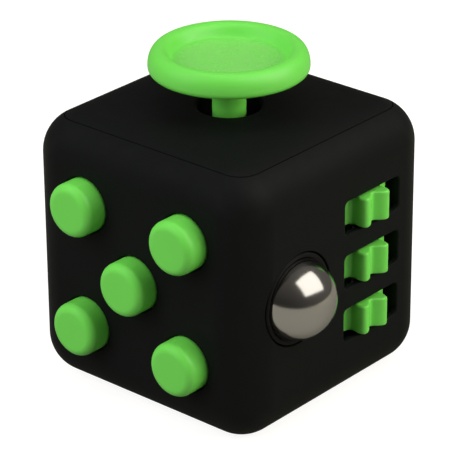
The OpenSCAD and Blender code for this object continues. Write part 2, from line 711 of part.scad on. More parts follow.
module flip_leaf_spring() steel() on_back() translate([-leaf_w / 2, 0, leaf_top]) rotate([90, 0, 90])
    linear_extrude(height = leaf_w)
        polygon([[-leaf_half, -leaf_t], [-leaf_half, 0], [-leaf_ridge_half, 0], [0, leaf_ridge],
                 [leaf_ridge_half, 0], [leaf_half, 0], [leaf_half, -leaf_t]]);

module flip_bracket() grey_plastic() on_back() difference() {
    union() {
        span_box([-bracket_half_w, -bracket_half_l, bracket_back], [bracket_half_w, bracket_half_l, -wall]);
        slab(-wall - flip_flange_t, -wall) 
            square([flip_flange_w, 2 * (flip_screw_place + flip_flange_end)], center = true);
        for (s = [-1, 1]) translate([s * (bracket_half_w - bracket_wall / 2 - loose_gap), 0, 0])
            slab(-wall - loose_gap, rocker_pivot - rocker_pin_r - close_gap)
                square([pin_foot_w, rocker_pin_d - loose_gap], center = true);
    }
    inner = bracket_half_l - bracket_end_t;
    span_box([-bracket_half_w + bracket_wall, -inner, leaf_top - leaf_t],
             [bracket_half_w - bracket_wall, inner, -wall + cut]);
    span_box([-bracket_half_w + bracket_wall, -inner + 1, bracket_floor],
             [bracket_half_w - bracket_wall, inner - 1, -wall]);
    for (s = [-1, 1]) translate([0, s * flip_screw_place, -wall - flip_flange_t])
        cylinder(r = screw_r + close_gap, h = flip_flange_t + cut);
}

module flip_screws() steel() on_back()
    for (s = [-1, 1]) translate([0, s * flip_screw_place, -wall - flip_flange_t - screw_head_h])
        screw(flip_flange_t + screw_bite - screw_spare);

// ---------------------------------------------------------------- spin face

module spin_dial() green_plastic() on_left() difference() {
    union() {
        difference() {
            slab(-dial_recess + loose_gap, dial_rise) circle(r = dial_r);
            for (i = [0:dial_grips - 1]) rotate([0, 0, 360 * (i + 0.5) / dial_grips])
                translate([dial_r + dial_grip_out, 0, 0])
                    slab(dial_grip_floor, dial_rise + cut) circle(r = dial_grip_r);
        }
        slab(wheel_top, 0) circle(r = dial_hub_r);
    }
    dimple = (pow(dial_dimple_r, 2) + pow(dial_dimple_depth, 2)) / (2 * dial_dimple_depth);
    translate([0, dial_dimple_place, dial_rise + dimple - dial_dimple_depth]) sphere(r = dimple);
    slab(wheel_top - cut, wheel_top + screw_bite) circle(r = screw_r);
}

module dial_detent_wheel() grey_plastic() on_left() difference() {
    slab(wheel_top - wheel_t, wheel_top)
        rotate([0, 0, -90 + 180 / dial_clicks]) polygon(wave(wheel_r, wheel_wave, dial_clicks, wheel_points));
    slab(wheel_top - wheel_t - cut, wheel_top + cut) circle(r = screw_r + close_gap);
}

module dial_screw() steel() on_left()
    translate([0, 0, wheel_top - wheel_t - screw_head_h]) screw(wheel_t + screw_bite - screw_spare);

// Strip between two posts, bowed up to a round bump that rests in a notch of the wheel.
module dial_detent_spring() steel() on_left() {
    low = wheel_top - wheel_t / 2 - detent_strip_w / 2;
    bump_y = -(wheel_r - wheel_wave + detent_bump_r + thin_gap);
    strip_y = bump_y - detent_bump_r;
    end = [detent_post[0] - detent_post_r - 0.1, detent_post[1] - 0.4];
    t = detent_strip_t;
    translate([0, 0, low]) {
        translate([0, bump_y, 0]) cylinder(r = detent_bump_r, h = detent_strip_w, $fn = 32);
        linear_extrude(height = detent_strip_w)
            polygon([[-end[0], end[1]], [-end[0], end[1] + t], [0, strip_y + t],
                     [end[0], end[1] + t], [end[0], end[1]], [0, strip_y]]);
        for (s = [-1, 1]) translate([s * detent_post[0], detent_post[1], 0]) difference() {
            cylinder(r = detent_post_r + detent_eye_t, h = detent_strip_w);
            translate([0, 0, -cut]) cylinder(r = detent_post_r, h = detent_strip_w + 2 * cut);
        }
    }
}

body_shell();
top_cover();
click_button(1);  // click_button_1
click_button(2);  // click_button_2
click_button(3);  // click_button_3
click_button(4);  // click_button_4
click_button(5);  // click_button_5
click_mat();
snap_domes();
click_plate();
click_screws();
joystick();
stem_pin();
gimbal_ring();
joystick_frame();
centring_spring();
dust_boot();
joystick_screws();
roll_gear(1);  // gear_1
roll_gear(2);  // gear_2
roll_gear(3);  // gear_3
gear_shaft();
gear_detent_spring();
steel_ball();
ball_cup();
ball_spring();
roll_carrier();
roll_screws();
flip_rocker();
flip_pin();
flip_leaf_spring();
flip_bracket();
flip_screws();
spin_dial();
dial_detent_wheel();
dial_screw();
dial_detent_spring();
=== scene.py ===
import math
from functools import partial

import bmesh
import bpy
from mathutils import Matrix, Vector


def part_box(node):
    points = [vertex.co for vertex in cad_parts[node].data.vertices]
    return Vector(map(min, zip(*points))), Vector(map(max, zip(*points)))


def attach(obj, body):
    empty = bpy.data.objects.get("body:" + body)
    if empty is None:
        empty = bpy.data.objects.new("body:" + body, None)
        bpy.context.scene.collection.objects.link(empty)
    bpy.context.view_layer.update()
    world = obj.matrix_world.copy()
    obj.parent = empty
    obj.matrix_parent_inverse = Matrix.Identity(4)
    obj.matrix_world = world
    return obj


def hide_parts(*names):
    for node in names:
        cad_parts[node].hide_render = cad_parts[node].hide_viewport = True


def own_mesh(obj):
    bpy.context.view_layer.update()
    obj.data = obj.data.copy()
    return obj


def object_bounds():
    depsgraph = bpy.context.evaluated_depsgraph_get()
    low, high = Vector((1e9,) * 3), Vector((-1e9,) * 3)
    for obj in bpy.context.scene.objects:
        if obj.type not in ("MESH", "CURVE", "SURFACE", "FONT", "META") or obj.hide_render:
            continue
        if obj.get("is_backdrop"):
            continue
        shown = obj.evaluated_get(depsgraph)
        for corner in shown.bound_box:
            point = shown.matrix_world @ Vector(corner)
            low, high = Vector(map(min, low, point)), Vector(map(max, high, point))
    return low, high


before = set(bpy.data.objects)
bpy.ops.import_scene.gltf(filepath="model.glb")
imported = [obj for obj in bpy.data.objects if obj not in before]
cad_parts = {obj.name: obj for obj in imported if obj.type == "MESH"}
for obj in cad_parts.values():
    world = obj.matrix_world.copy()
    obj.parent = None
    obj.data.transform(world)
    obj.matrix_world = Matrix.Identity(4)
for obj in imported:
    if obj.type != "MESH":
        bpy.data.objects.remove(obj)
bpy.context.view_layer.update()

# ---------------------------------------------------------------- camera
# A long lens looks down on the corner between the button face and the gear face,
# with the joystick on top.
scene = bpy.context.scene
camera_azimuth, camera_elevation, camera_roll = (math.radians(turn) for turn in (40.85, 25.61, -0.36))
camera_distance = 0.3206
camera_target = Vector((0, 0, 0.01717))
camera_back = Vector((math.sin(camera_azimuth) * math.cos(camera_elevation),
                      -math.cos(camera_azimuth) * math.cos(camera_elevation),
                      math.sin(camera_elevation)))
camera_data = bpy.data.cameras.new("camera")
camera_data.sensor_width, camera_data.lens, camera_data.clip_start = 36, 216.6, 0.01
camera = bpy.data.objects.new("camera", camera_data)
camera.rotation_mode = "QUATERNION"
camera.location = camera_target + camera_back * camera_distance
camera.rotation_quaternion = ((-camera_back).to_track_quat("-Z", "Y").to_matrix()
                              @ Matrix.Rotation(camera_roll, 3, "Z")).to_quaternion()
scene.collection.objects.link(camera)
scene.camera = camera
scene.view_settings.view_transform = "Standard"

# ---------------------------------------------------------------- floor and studio light
# A white table top in a dim room that is brighter behind and above. A softbox high on the right
# shows in the steel, and three soft lights don't. From underneath, the table is seen through.
floor_half, floor_gap = 3.0, 0.00002
floor_mesh = bpy.data.meshes.new("floor")
floor_mesh.from_pydata([(-floor_half, -floor_half, 0), (floor_half, -floor_half, 0),
                        (floor_half, floor_half, 0), (-floor_half, floor_half, 0)], [], [(0, 1, 2, 3)])
floor = bpy.data.objects.new("floor", floor_mesh)
floor.location.z = -floor_gap
scene.collection.objects.link(floor)
floor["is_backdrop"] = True


def new_nodes(tree, *kinds):
    """Empties a shader tree and adds one node of each kind."""
    tree.nodes.clear()
    return [tree.nodes.new(f"ShaderNode{kind}") for kind in kinds]


def join(tree, *pairs):
    for source, target in pairs:
        tree.links.new(source, target)


floor_paint = bpy.data.materials.new("white_table")
floor_paint.use_nodes = True
paint, glow, clear, path, geometry, seen, both, below, output = new_nodes(
    floor_paint.node_tree, "BsdfDiffuse", "Emission", "BsdfTransparent", "LightPath", "NewGeometry",
    "MixShader", "AddShader", "MixShader", "OutputMaterial")
paint.inputs["Color"].default_value = (0.27, 0.26, 0.235, 1)
glow.inputs["Strength"].default_value = 0.86
join(floor_paint.node_tree, (paint.outputs[0], both.inputs[0]), (glow.outputs[0], both.inputs[1]),
     (path.outputs["Is Camera Ray"], seen.inputs[0]), (paint.outputs[0], seen.inputs[1]),
     (both.outputs[0], seen.inputs[2]), (geometry.outputs["Backfacing"], below.inputs[0]),
     (seen.outputs[0], below.inputs[1]), (clear.outputs[0], below.inputs[2]),
     (below.outputs[0], output.inputs["Surface"]))
floor.data.materials.append(floor_paint)

world = bpy.data.worlds.new("studio")
world.use_nodes = True
scene.world = world
way, parts, behind, brighter, room, wall_seen, path, mix, output = new_nodes(
    world.node_tree, "TexCoord", "SeparateXYZ", "Math", "MapRange", "Background", "Background",
    "LightPath", "MixShader", "OutputWorld")
behind.operation = "ADD"
for label, value in (("From Min", -1.0), ("From Max", 1.4), ("To Min", 0.03), ("To Max", 0.15)):
    brighter.inputs[label].default_value = value
room.inputs["Color"].default_value = (1, 0.93, 0.86, 1)
wall_seen.inputs["Color"].default_value = (1, 1, 1, 1)
join(world.node_tree, (way.outputs["Generated"], parts.inputs[0]), (parts.outputs["Y"], behind.inputs[0]),
     (parts.outputs["Z"], behind.inputs[1]), (behind.outputs[0], brighter.inputs["Value"]),
     (brighter.outputs["Result"], room.inputs["Strength"]), (path.outputs["Is Camera Ray"], mix.inputs[0]),
     (room.outputs[0], mix.inputs[1]), (wall_seen.outputs[0], mix.inputs[2]),
     (mix.outputs[0], output.inputs["Surface"]))


def softbox(name, direction, distance, size, power, mirrored, colour=(1, 1, 1)):
    """A soft light that faces the cube from one direction. Only a mirrored one shows in the gloss."""
    light = bpy.data.lights.new(name, "AREA")
    light.color, light.energy, light.shape = colour, power, "RECTANGLE"
    light.size, light.size_y = size
    lamp = bpy.data.objects.new(name, light)
    toward = Vector(direction).normalized()
    upward = (Vector((0, 1, 0)) - toward * toward.y).normalized()
    lamp.location = camera_target + toward * distance
    lamp.rotation_mode = "QUATERNION"
    lamp.rotation_quaternion = Matrix((upward.cross(toward), upward, toward)).transposed().to_quaternion()
    lamp.visible_glossy = mirrored
    scene.collection.objects.link(lamp)


softbox("softbox_right", (0.65, 0.2, 0.73), 0.28, (0.25, 0.33), 0.5, True, (1, 0.97, 0.92))
softbox("fill_right", (0.86, 0.42, 0.3), 0.5, (0.3, 0.3), 1.9, False, (1, 0.96, 0.8))
softbox("softbox_front_left", (-0.42, -0.78, 0.5), 0.5, (0.4, 0.4), 2.6, False)
softbox("softbox_top", (-0.1, -0.1, 1.0), 0.5, (0.4, 0.4), 1.15, False)

# ---------------------------------------------------------------- body shell
# The five-sided housing is one satin black injection moulding with rounded edges. Every opening in it
# has a small moulded lip, and the underside has a shallow dish for the thumb.
MM = 0.001
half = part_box("body_shell")[1].x / MM
edge_round, wall, cover_thick = 5.0, 3.5, 2.6
cover_ledge = half * 2 - cover_thick
cover_half, cover_corner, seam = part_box("top_cover")[1].x / MM, 2.35, 0.12


def face(across, up, out, centre):
    """Places millimetres measured across, up and out of one side of the cube."""
    turn = Matrix((across, up, out)).transposed().to_4x4()
    return Matrix.Translation(Vector(centre) * MM) @ turn @ Matrix.Scale(MM, 4)


front = face((1, 0, 0), (0, 0, 1), (0, -1, 0), (0, -half, half))
right = face((0, 1, 0), (0, 0, 1), (1, 0, 0), (half, 0, half))
back = face((-1, 0, 0), (0, 0, 1), (0, 1, 0), (0, half, half))
left = face((0, -1, 0), (0, 0, 1), (-1, 0, 0), (-half, 0, half))
top = face((1, 0, 0), (0, 1, 0), (0, 0, 1), (0, 0, 2 * half))
bottom = face((1, 0, 0), (0, -1, 0), (0, 0, -1), (0, 0, 0))


def new_piece(name, shape):
    """Welds a shape, points its faces outwards and makes it a piece."""
    weld, sliver = 2e-7, 1e-8
    bmesh.ops.remove_doubles(shape, verts=shape.verts, dist=weld)
    bmesh.ops.dissolve_degenerate(shape, edges=shape.edges, dist=sliver)
    bmesh.ops.recalc_face_normals(shape, faces=shape.faces)
    mesh = bpy.data.meshes.new(name)
    shape.to_mesh(mesh)
    shape.free()
    piece = bpy.data.objects.new(name, mesh)
    scene.collection.objects.link(piece)
    return piece


def loft(name, loops, place, ring=False):
    """A closed solid through loops of points. A ring joins its last loop to its first; else both ends
    are capped."""
    shape = bmesh.new()
    rows = [[shape.verts.new(place @ Vector(point)) for point in loop] for loop in loops]
    for near, far in list(zip(rows, rows[1:])) + ([(rows[-1], rows[0])] if ring else []):
        for i in range(len(near)):
            j = (i + 1) % len(near)
            shape.faces.new((near[i], near[j], far[j], far[i]))
    if not ring:
        shape.faces.new(rows[0])
        shape.faces.new(rows[-1])
    return new_piece(name, shape)


def outline(width, length, corner, wider=0.0, height=0.0, centre=(0, 0), steps=10):
    """Points round a rectangle with round corners, grown outwards, at one height."""
    points, reach = [], corner + wider
    for quarter, (sx, sy) in enumerate(((1, 1), (-1, 1), (-1, -1), (1, -1))):
        for k in range(steps + 1):
            angle = math.radians(90 * (quarter + k / steps))
            points.append((centre[0] + sx * (width / 2 - corner) + reach * math.cos(angle),
                           centre[1] + sy * (length / 2 - corner) + reach * math.sin(angle), height))
    return points


def circle(radius, height=0.0, centre=(0, 0), steps=96):
    return [(centre[0] + radius * math.cos(math.tau * k / steps),
             centre[1] + radius * math.sin(math.tau * k / steps), height) for k in range(steps)]


def lathe(name, profile, place, ring=False, steps=96):
    """Turns (radius, height) pairs about the axis that stands out of the place given."""
    return loft(name, [circle(radius, height, steps=steps) for radius, height in profile], place, ring)


def arc(centre, radius, start, end, steps=8, stretch=1.0):
    """(radius, height) pairs round part of a circle, in degrees, stretched in height."""
    turns = [math.radians(start + (end - start) * k / steps) for k in range(steps + 1)]
    return [(centre[0] + radius * math.cos(a), centre[1] + radius * stretch * math.sin(a)) for a in turns]


def box(name, low, high, place):
    corners = ((low[0], low[1]), (high[0], low[1]), (high[0], high[1]), (low[0], high[1]))
    return loft(name, [[(x, y, z) for x, y in corners] for z in (low[2], high[2])], place)


def settle(piece):
    """Turns a piece's modifiers into plain mesh."""
    graph = bpy.context.evaluated_depsgraph_get()
    mesh = bpy.data.meshes.new_from_object(piece.evaluated_get(graph))
    piece.modifiers.clear()
    piece.data = mesh


def carve(piece, cutters, operation="DIFFERENCE"):
    """Cuts the cutters out of a piece, joins them to it, or keeps what they share, and uses them up."""
    for cutter in cutters:
        cut = piece.modifiers.new("carve", "BOOLEAN")
        cut.operation, cut.solver, cut.object = operation, "MANIFOLD", cutter
    settle(piece)
    for cutter in cutters:
        bpy.data.objects.remove(cutter)


def lip_levels(lip, deep, pocket=None):
    """(grow, height) levels of a cutter that leaves a rounded lip, and a wider pocket behind a skin."""
    first, steps, above = 8, 6, 1.0
    turns = [math.radians(first + (90 - first) * k / steps) for k in range(steps + 1)]
    levels = [(lip * (1 - math.sin(turns[0])), above)]
    levels += [(lip * (1 - math.sin(t)), -lip * (1 - math.cos(t))) for t in turns]
    if pocket:
        wider, skin = pocket
        return levels + [(0, -skin), (wider, -skin), (wider, -deep)]
    return levels + [(0, -deep)]


def round_hole(radius, lip, deep, place, centre=(0, 0), pocket=None):
    loops = [circle(radius + wider, height, centre) for wider, height in lip_levels(lip, deep, pocket)]
    return loft("cutter", loops, place)


def slot_hole(width, length, corner, lip, deep, place, centre=(0, 0)):
    loops = [outline(width, length, corner, wider, height, centre) for wider, height in lip_levels(lip, deep)]
    return loft("cutter", loops, place)


def rounded_cube(name):
    """The cube's outer surface: a grid on each side, pulled onto its round edges and corners."""
    inner, steps = half - edge_round, 12
    turns = [inner + edge_round * math.tan(math.radians(45 * k / steps)) for k in range(steps + 1)]
    lines = [-t for t in reversed(turns)] + [-inner / 2, 0.0, inner / 2] + turns
    shape = bmesh.new()
    for axis in range(3):
        for side in (-half, half):
            grid = {}
            for i, a in enumerate(lines):
                for j, b in enumerate(lines):
                    point = [a, b]
                    point.insert(axis, side)
                    point = Vector(point)
                    core = Vector([max(-inner, min(inner, c)) for c in point])
                    reach = (point - core).normalized() * edge_round
                    grid[i, j] = shape.verts.new((core + reach + Vector((0, 0, half))) * MM)
            for i in range(len(lines) - 1):
                for j in range(len(lines) - 1):
                    shape.faces.new((grid[i, j], grid[i + 1, j], grid[i + 1, j + 1], grid[i, j + 1]))
    return new_piece(name, shape)


def centre_on(node, across, up):
    """Middle of a node's box, in millimetres across and up the cube's side."""
    low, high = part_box(node)
    middle = (low + high) / 2 / MM - Vector((0, 0, half))
    return middle.dot(Vector(across)), middle.dot(Vector(up))


def hollow(radius, depth, first, less, steps=12):
    """(radius, height) pairs of a shallow round hollow, from near its middle to short of its rim."""
    curve = (radius ** 2 + depth ** 2) / (2 * depth)
    rim = math.degrees(math.asin(radius / curve))
    turns = [math.radians(first + (rim - less) * k / steps) for k in range(steps + 1)]
    return [(curve * math.sin(t), curve - depth - curve * math.cos(t)) for t in turns]


button_centres = [centre_on(f"click_button_{i}", (1, 0, 0), (0, 0, 1)) for i in range(1, 6)]
gear_centres = [centre_on(f"gear_{i}", (0, 1, 0), (0, 0, 1)) for i in range(1, 4)]
ball_centre = centre_on("steel_ball", (0, 1, 0), (0, 0, 1))
button_radius, button_flange, button_skin, button_gap, flange_gap = 3.2, 3.9, 1.55, 0.15, 0.3
gear_side, gear_room, gear_hub, hub_room = gear_centres[0][0], 9.25, 1.7, 0.3
shaft_radius, shaft_seat, pocket_gap = 1.0, 1.6, 0.1
gear_axis = sum(corner.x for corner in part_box("gear_shaft")) / 2 / MM - half
gear_skin = -gear_axis - gear_hub - hub_room
slot_length, slot_width, slot_corner, hole_lip = 9.7, 4.1, 0.6, 0.22
cup_radius, cup_gap, cup_lip = 5.4, 0.15, 0.14
rocker_width, rocker_length, rocker_side_gap, rocker_end_gap = 9.0, 14.0, 0.4, 1.4
rocker_corner, rocker_lip, rocker_pin, rocker_pin_depth, pin_seat = 0.4, 0.3, 0.75, -2.4, 2.2
dial_radius, dial_recess, dial_hub, dial_gap, hub_gap = 7.0, 1.25, 2.4, 0.25, 0.05
dish_width, dish_extra, dish_depth = 16.0, 4.0, 1.6
inside, through, cube_place = half - wall, wall + 0.5, Matrix.Scale(MM, 4)

cutters = [box("cutter", (-inside, -inside, wall), (inside, inside, 2 * half + 1), cube_place),
           loft("cutter", [outline(2 * cover_half, 2 * cover_half, cover_corner, seam, z)
                           for z in (cover_ledge, 2 * half + 1)], cube_place)]
cutters += [round_hole(button_radius + button_gap, hole_lip, through, front, centre,
                       pocket=(button_flange + flange_gap - button_radius - button_gap, button_skin))
            for centre in button_centres]
cutters += [slot_hole(slot_length, slot_width, slot_corner, hole_lip, through, right, centre)
            for centre in gear_centres]
cutters.append(round_hole(cup_radius + cup_gap, cup_lip, through, right, ball_centre))
cutters += [box("cutter", (gear_side - reach, -length, -through), (gear_side + reach, length, height), right)
            for reach, length, height in ((slot_length / 2 + pocket_gap, gear_room, -gear_skin),
                                          (shaft_radius, gear_room + shaft_seat, gear_axis + shaft_radius))]
cutters.append(slot_hole(rocker_width + rocker_side_gap, rocker_length + rocker_end_gap, rocker_corner,
                         rocker_lip, through, back))
cutters.append(box("cutter", (-rocker_width / 2 - pin_seat, -rocker_pin, -through),
                   (rocker_width / 2 + pin_seat, rocker_pin, rocker_pin_depth + rocker_pin), back))
cutters.append(round_hole(dial_radius + dial_gap, dial_gap, dial_recess, left))
cutters.append(round_hole(dial_hub + hub_gap, hub_gap, through, left))
dish_radius = dish_width / 2
dish_levels = hollow(dish_radius, dish_depth, 0.3, 0.9)
dish_levels += [(dish_radius + 0.1, -0.035), (dish_radius + 0.45, 0.06), (dish_radius + 0.5, 1.0)]
cutters.append(loft("cutter", [outline(2 * reach + dish_extra, 2 * reach, reach, 0, height, steps=24)
                               for reach, height in dish_levels], bottom))
body_shell = rounded_cube("body_shell_moulding")
carve(body_shell, cutters)


FLOAT, COLOUR, GREY = "NodeSocketFloat", "NodeSocketColor", (0.5, 0.5, 0.5, 1)


def node_group(name, inputs, outputs):
    """An empty shader node group, with its inputs by name and value and its outputs by name."""
    group = bpy.data.node_groups.new(name, "ShaderNodeTree")
    for label, value in inputs.items():
        kind = COLOUR if isinstance(value, tuple) else FLOAT
        group.interface.new_socket(label, in_out="INPUT", socket_type=kind).default_value = value
    for label in outputs:
        kind = COLOUR if label == "Colour" else FLOAT
        group.interface.new_socket(label, in_out="OUTPUT", socket_type=kind)
    return group, group.nodes.new("NodeGroupInput").outputs, group.nodes.new("NodeGroupOutput").inputs


def feed(tree, value, socket):
    """Sets a socket to a number, or links it to another socket."""
    if isinstance(value, (int, float)):
        socket.default_value = value
    else:
        tree.links.new(value, socket)


def sum_node(tree, operation, first, second=0.0, clamp=False):
    """A maths node on two values, each a socket or a number."""
    node = tree.nodes.new("ShaderNodeMath")
    node.operation, node.use_clamp = operation, clamp
    feed(tree, first, node.inputs[0])
    feed(tree, second, node.inputs[1])
    return node.outputs[0]


def maths(tree):
    """Adding, subtracting and multiplying in one tree."""
    return [partial(sum_node, tree, operation) for operation in ("ADD", "SUBTRACT", "MULTIPLY")]


def noise_node(tree, vector, scale, detail, rough=0.5):
    node = tree.nodes.new("ShaderNodeTexNoise")
    for value, label in ((vector, "Vector"), (scale, "Scale"), (detail, "Detail"), (rough, "Roughness")):
        feed(tree, value, node.inputs[label])
    return node.outputs["Fac"]


def scaled(tree, vector, factor):
    node = tree.nodes.new("ShaderNodeVectorMath")
    node.operation = "SCALE"
    feed(tree, vector, node.inputs[0])
    feed(tree, factor, node.inputs["Scale"])
    return node.outputs[0]


def stretched(tree, vector, turn, scale):
    node = tree.nodes.new("ShaderNodeMapping")
    node.inputs["Rotation"].default_value, node.inputs["Scale"].default_value = turn, scale
    feed(tree, vector, node.inputs["Vector"])
    return node.outputs[0]


def own_place(tree):
    return tree.nodes.new("ShaderNodeTexCoord").outputs["Object"]


moulded_skin, given, made = node_group("moulded_skin", {
    "Colour": GREY, "Wear And Sheen Colour": GREY, "Tone Spread": 0.1, "Roughness": 0.5, "Roughness Spread": 0.1,
    "Grain Size": 0.1, "Wear And Sheen": 0.0}, ("Colour", "Roughness", "Height"))
plus, minus, times = maths(moulded_skin)
skin_noise = partial(noise_node, moulded_skin)
place = scaled(moulded_skin, own_place(moulded_skin), 1 / MM)
grain = skin_noise(place, sum_node(moulded_skin, "DIVIDE", 1.0, given["Grain Size"]), 2.5, 0.6)
flow = skin_noise(place, 0.16, 3.0)
handling = skin_noise(place, 0.55, 4.0, 0.65)
hairline = skin_noise(stretched(moulded_skin, place, (0.6, 0.9, 0.4), (0.35, 9.0, 0.5)), 1.0, 2.0)
hairline = times(minus(hairline, 0.68, clamp=True), 3.0)
tone = minus(plus(flow, times(grain, 0.5)), 0.75)
tone = plus(1.0, times(tone, given["Tone Spread"]))
# A second colour blends in by the mask: worn plastic on rubbed edges, and a painted sheen on the disc's
# stippled floor.
wear_and_sheen = times(given["Wear And Sheen"], handling, clamp=True)
blend = moulded_skin.nodes.new("ShaderNodeMix")
blend.data_type = "RGBA"
spread = times(minus(handling, 0.5), given["Roughness Spread"])
finish = plus(plus(given["Roughness"], spread), times(hairline, -0.12))
finish = minus(finish, times(wear_and_sheen, 0.14), clamp=True)
relief = minus(grain, times(hairline, 0.25))
join(moulded_skin, (wear_and_sheen, blend.inputs["Factor"]),
     (scaled(moulded_skin, given["Colour"], tone), blend.inputs["A"]),
     (given["Wear And Sheen Colour"], blend.inputs["B"]),
     (blend.outputs["Result"], made["Colour"]), (finish, made["Roughness"]), (relief, made["Height"]))

edge_handling, given, made = node_group(
    "edge_handling", {"Half": half * MM, "Edge Radius": edge_round * MM}, ("Wear And Sheen",))
plus, minus, times = maths(edge_handling)
edge_sum = partial(sum_node, edge_handling)
split = edge_handling.nodes.new("ShaderNodeSeparateXYZ")
join(edge_handling, (own_place(edge_handling), split.inputs[0]))
flat_half = minus(given["Half"], given["Edge Radius"])
reaches = []
for axis, middle in (("X", 0.0), ("Y", 0.0), ("Z", half * MM)):
    off = edge_sum("ABSOLUTE", minus(split.outputs[axis], middle))
    off = edge_sum("MAXIMUM", minus(off, flat_half))
    reaches.append(edge_sum("DIVIDE", off, given["Edge Radius"]))
pairs = [times(reaches[a], reaches[b]) for a, b in ((0, 1), (1, 2), (2, 0))]
worn = plus(plus(pairs[0], pairs[1]), pairs[2])
worn = edge_sum("POWER", times(worn, 2.0, clamp=True), 3.0)
join(edge_handling, (worn, made["Wear And Sheen"]))


def put_group(tree, group, values=None):
    """Places a node group in a material, with its own values."""
    node = tree.nodes.new("ShaderNodeGroup")
    node.node_tree = group
    for label, value in (values or {}).items():
        node.inputs[label].default_value = value
    return node


def surfaced(name, group, values, relief):
    """A material whose colour, gloss and fine relief come from one node group."""
    material = bpy.data.materials.new(name)
    material.use_nodes = True
    tree = material.node_tree
    shader, surface = tree.nodes["Principled BSDF"], put_group(tree, group, values)
    bump = tree.nodes.new("ShaderNodeBump")
    surface.name, bump.name = "surface", "relief"
    bump.inputs["Distance"].default_value = relief * MM
    join(tree, (surface.outputs["Colour"], shader.inputs["Base Color"]),
         (surface.outputs["Roughness"], shader.inputs["Roughness"]),
         (surface.outputs["Height"], bump.inputs["Height"]),
         (bump.outputs["Normal"], shader.inputs["Normal"]))
    return material


def plastic(name, colour, roughness, grain_size, grain_depth, specular=0.5, tone_spread=0.12,
            wear_and_sheen_colour=None, rubbed_by=None):
    """A moulded or rubbery finish with a fine grain, rubbed by handling where a mask group says. Its second
    colour also serves as a painted sheen where a material feeds in a mask of its own.
    """
    material = surfaced(name, moulded_skin, {
        "Colour": (*colour, 1), "Wear And Sheen Colour": (*(wear_and_sheen_colour or colour), 1), "Tone Spread": tone_spread,
        "Roughness": roughness, "Roughness Spread": 0.12, "Grain Size": grain_size}, grain_depth)
    tree = material.node_tree
    tree.nodes["Principled BSDF"].inputs["Specular IOR Level"].default_value = specular
    if rubbed_by:
        join(tree, (put_group(tree, rubbed_by).outputs["Wear And Sheen"], tree.nodes["surface"].inputs["Wear And Sheen"]))
    return material


def finish_piece(piece, material, body, replaced, crease=35):
    """Smooths a piece but keeps its creases, gives it its material and fixes it to its body."""
    shape = bmesh.new()
    shape.from_mesh(piece.data)
    for surface in shape.faces:
        surface.smooth = True
    for edge in shape.edges:
        edge.smooth = len(edge.link_faces) == 2 and edge.calc_face_angle() < math.radians(crease)
    shape.to_mesh(piece.data)
    shape.free()
    normals = piece.modifiers.new("flat faces stay flat", "WEIGHTED_NORMAL")
    normals.keep_sharp = True
    settle(piece)
    piece.data.materials.clear()
    piece.data.materials.append(material)
    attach(piece, body)
    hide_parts(*replaced)


black_shell = plastic("satin_black_shell", (0.0046, 0.0052, 0.0051), 0.56, 0.11, 0.006, specular=0.075,
                      tone_spread=0.3, wear_and_sheen_colour=(0.0066, 0.0071, 0.0069), rubbed_by=edge_handling)
finish_piece(body_shell, black_shell, "housing", ["body_shell"])

# ---------------------------------------------------------------- click buttons
# Five green buttons, turned up from a flange that keeps them behind the wall. They are moulded in the
# same green plastic as the other moving parts, with a softly rounded face.
green_colour = (0.124, 0.545, 0.066)
green = plastic("green_plastic", green_colour, 0.4, 0.07, 0.003, tone_spread=0.08)
button_rise = -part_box("click_button_1")[0].y / MM - half
button_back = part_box("click_button_1")[1].y / MM + half
button_round, button_nub, nub_height, flange_height = 1.0, 1.2, 0.5, 0.8
face_reach, face_dip = button_radius - button_round - 0.4, 0.01
flange_top = -(button_back - nub_height - flange_height)
flange_under = flange_top - flange_height


def bevelled(radius, low, high, bevel=0.1):
    """(radius, height) pairs of a round step with both its edges bevelled."""
    return [(radius - bevel, low), (radius, low + bevel), (radius, high - bevel), (radius - bevel, high)]


button_profile = [(0, -button_back)] + bevelled(button_nub, -button_back, flange_under)[:2]
button_profile += [(button_nub, flange_under)] + bevelled(button_flange, flange_under, flange_top)
button_profile += [(button_radius, flange_top)]
button_profile += arc((button_radius - button_round, button_rise - button_round), button_round, 0, 90, 10)
button_profile += [(face_reach, button_rise - 0.4 * face_dip), (0, button_rise - face_dip)]
for number, (across, up) in enumerate(button_centres, 1):
    button = lathe(f"click_button_{number}_cap", button_profile, front @ Matrix.Translation((across, up, 0)))
    finish_piece(button, green, f"button_{number}", [f"click_button_{number}"])

# ---------------------------------------------------------------- click mat, snap domes and back plate
# A silicone mat seals the buttons, three thin steel domes give their click, and a grey nylon plate
# screwed to the wall holds both in place.
silicone = plastic("grey_silicone", (0.42, 0.43, 0.41), 0.62, 0.25, 0.004, specular=0.35)
grey_nylon = plastic("grey_nylon", (0.075, 0.08, 0.088), 0.58, 0.12, 0.008, specular=0.4, tone_spread=0.2)


def dress(material, *nodes):
    """Gives carried CAD parts their finish."""
    for node in nodes:
        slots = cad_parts[node].data.materials
        slots.clear()
        slots.append(material)


metal_marks, given, made = node_group(
    "metal_marks", {"Colour": GREY, "Roughness": 0.2, "Mark Depth": 0.1, "Lines": 1.0},
    ("Colour", "Roughness", "Height"))
plus, minus, times = maths(metal_marks)
metal_noise = partial(noise_node, metal_marks)
place = scaled(metal_marks, own_place(metal_marks), 1 / MM)
lines = metal_noise(stretched(metal_marks, place, (0.3, 0.5, 0.2), (0.6, 22.0, 3.0)), 1.0, 3.0)
cloud, pits = metal_noise(place, 0.7, 4.0, 0.6), metal_noise(place, 9.0, 2.0)
dulled = times(minus(cloud, 0.5), 0.6)
drawn = times(minus(lines, 0.5), given["Lines"])
change = times(plus(dulled, drawn), given["Mark Depth"])
tone = minus(1.0, times(change, 0.5))
join(metal_marks, (scaled(metal_marks, given["Colour"], tone), made["Colour"]),
     (plus(given["Roughness"], change, clamp=True), made["Roughness"]),
     (plus(pits, times(lines, given["Lines"])), made["Height"]))


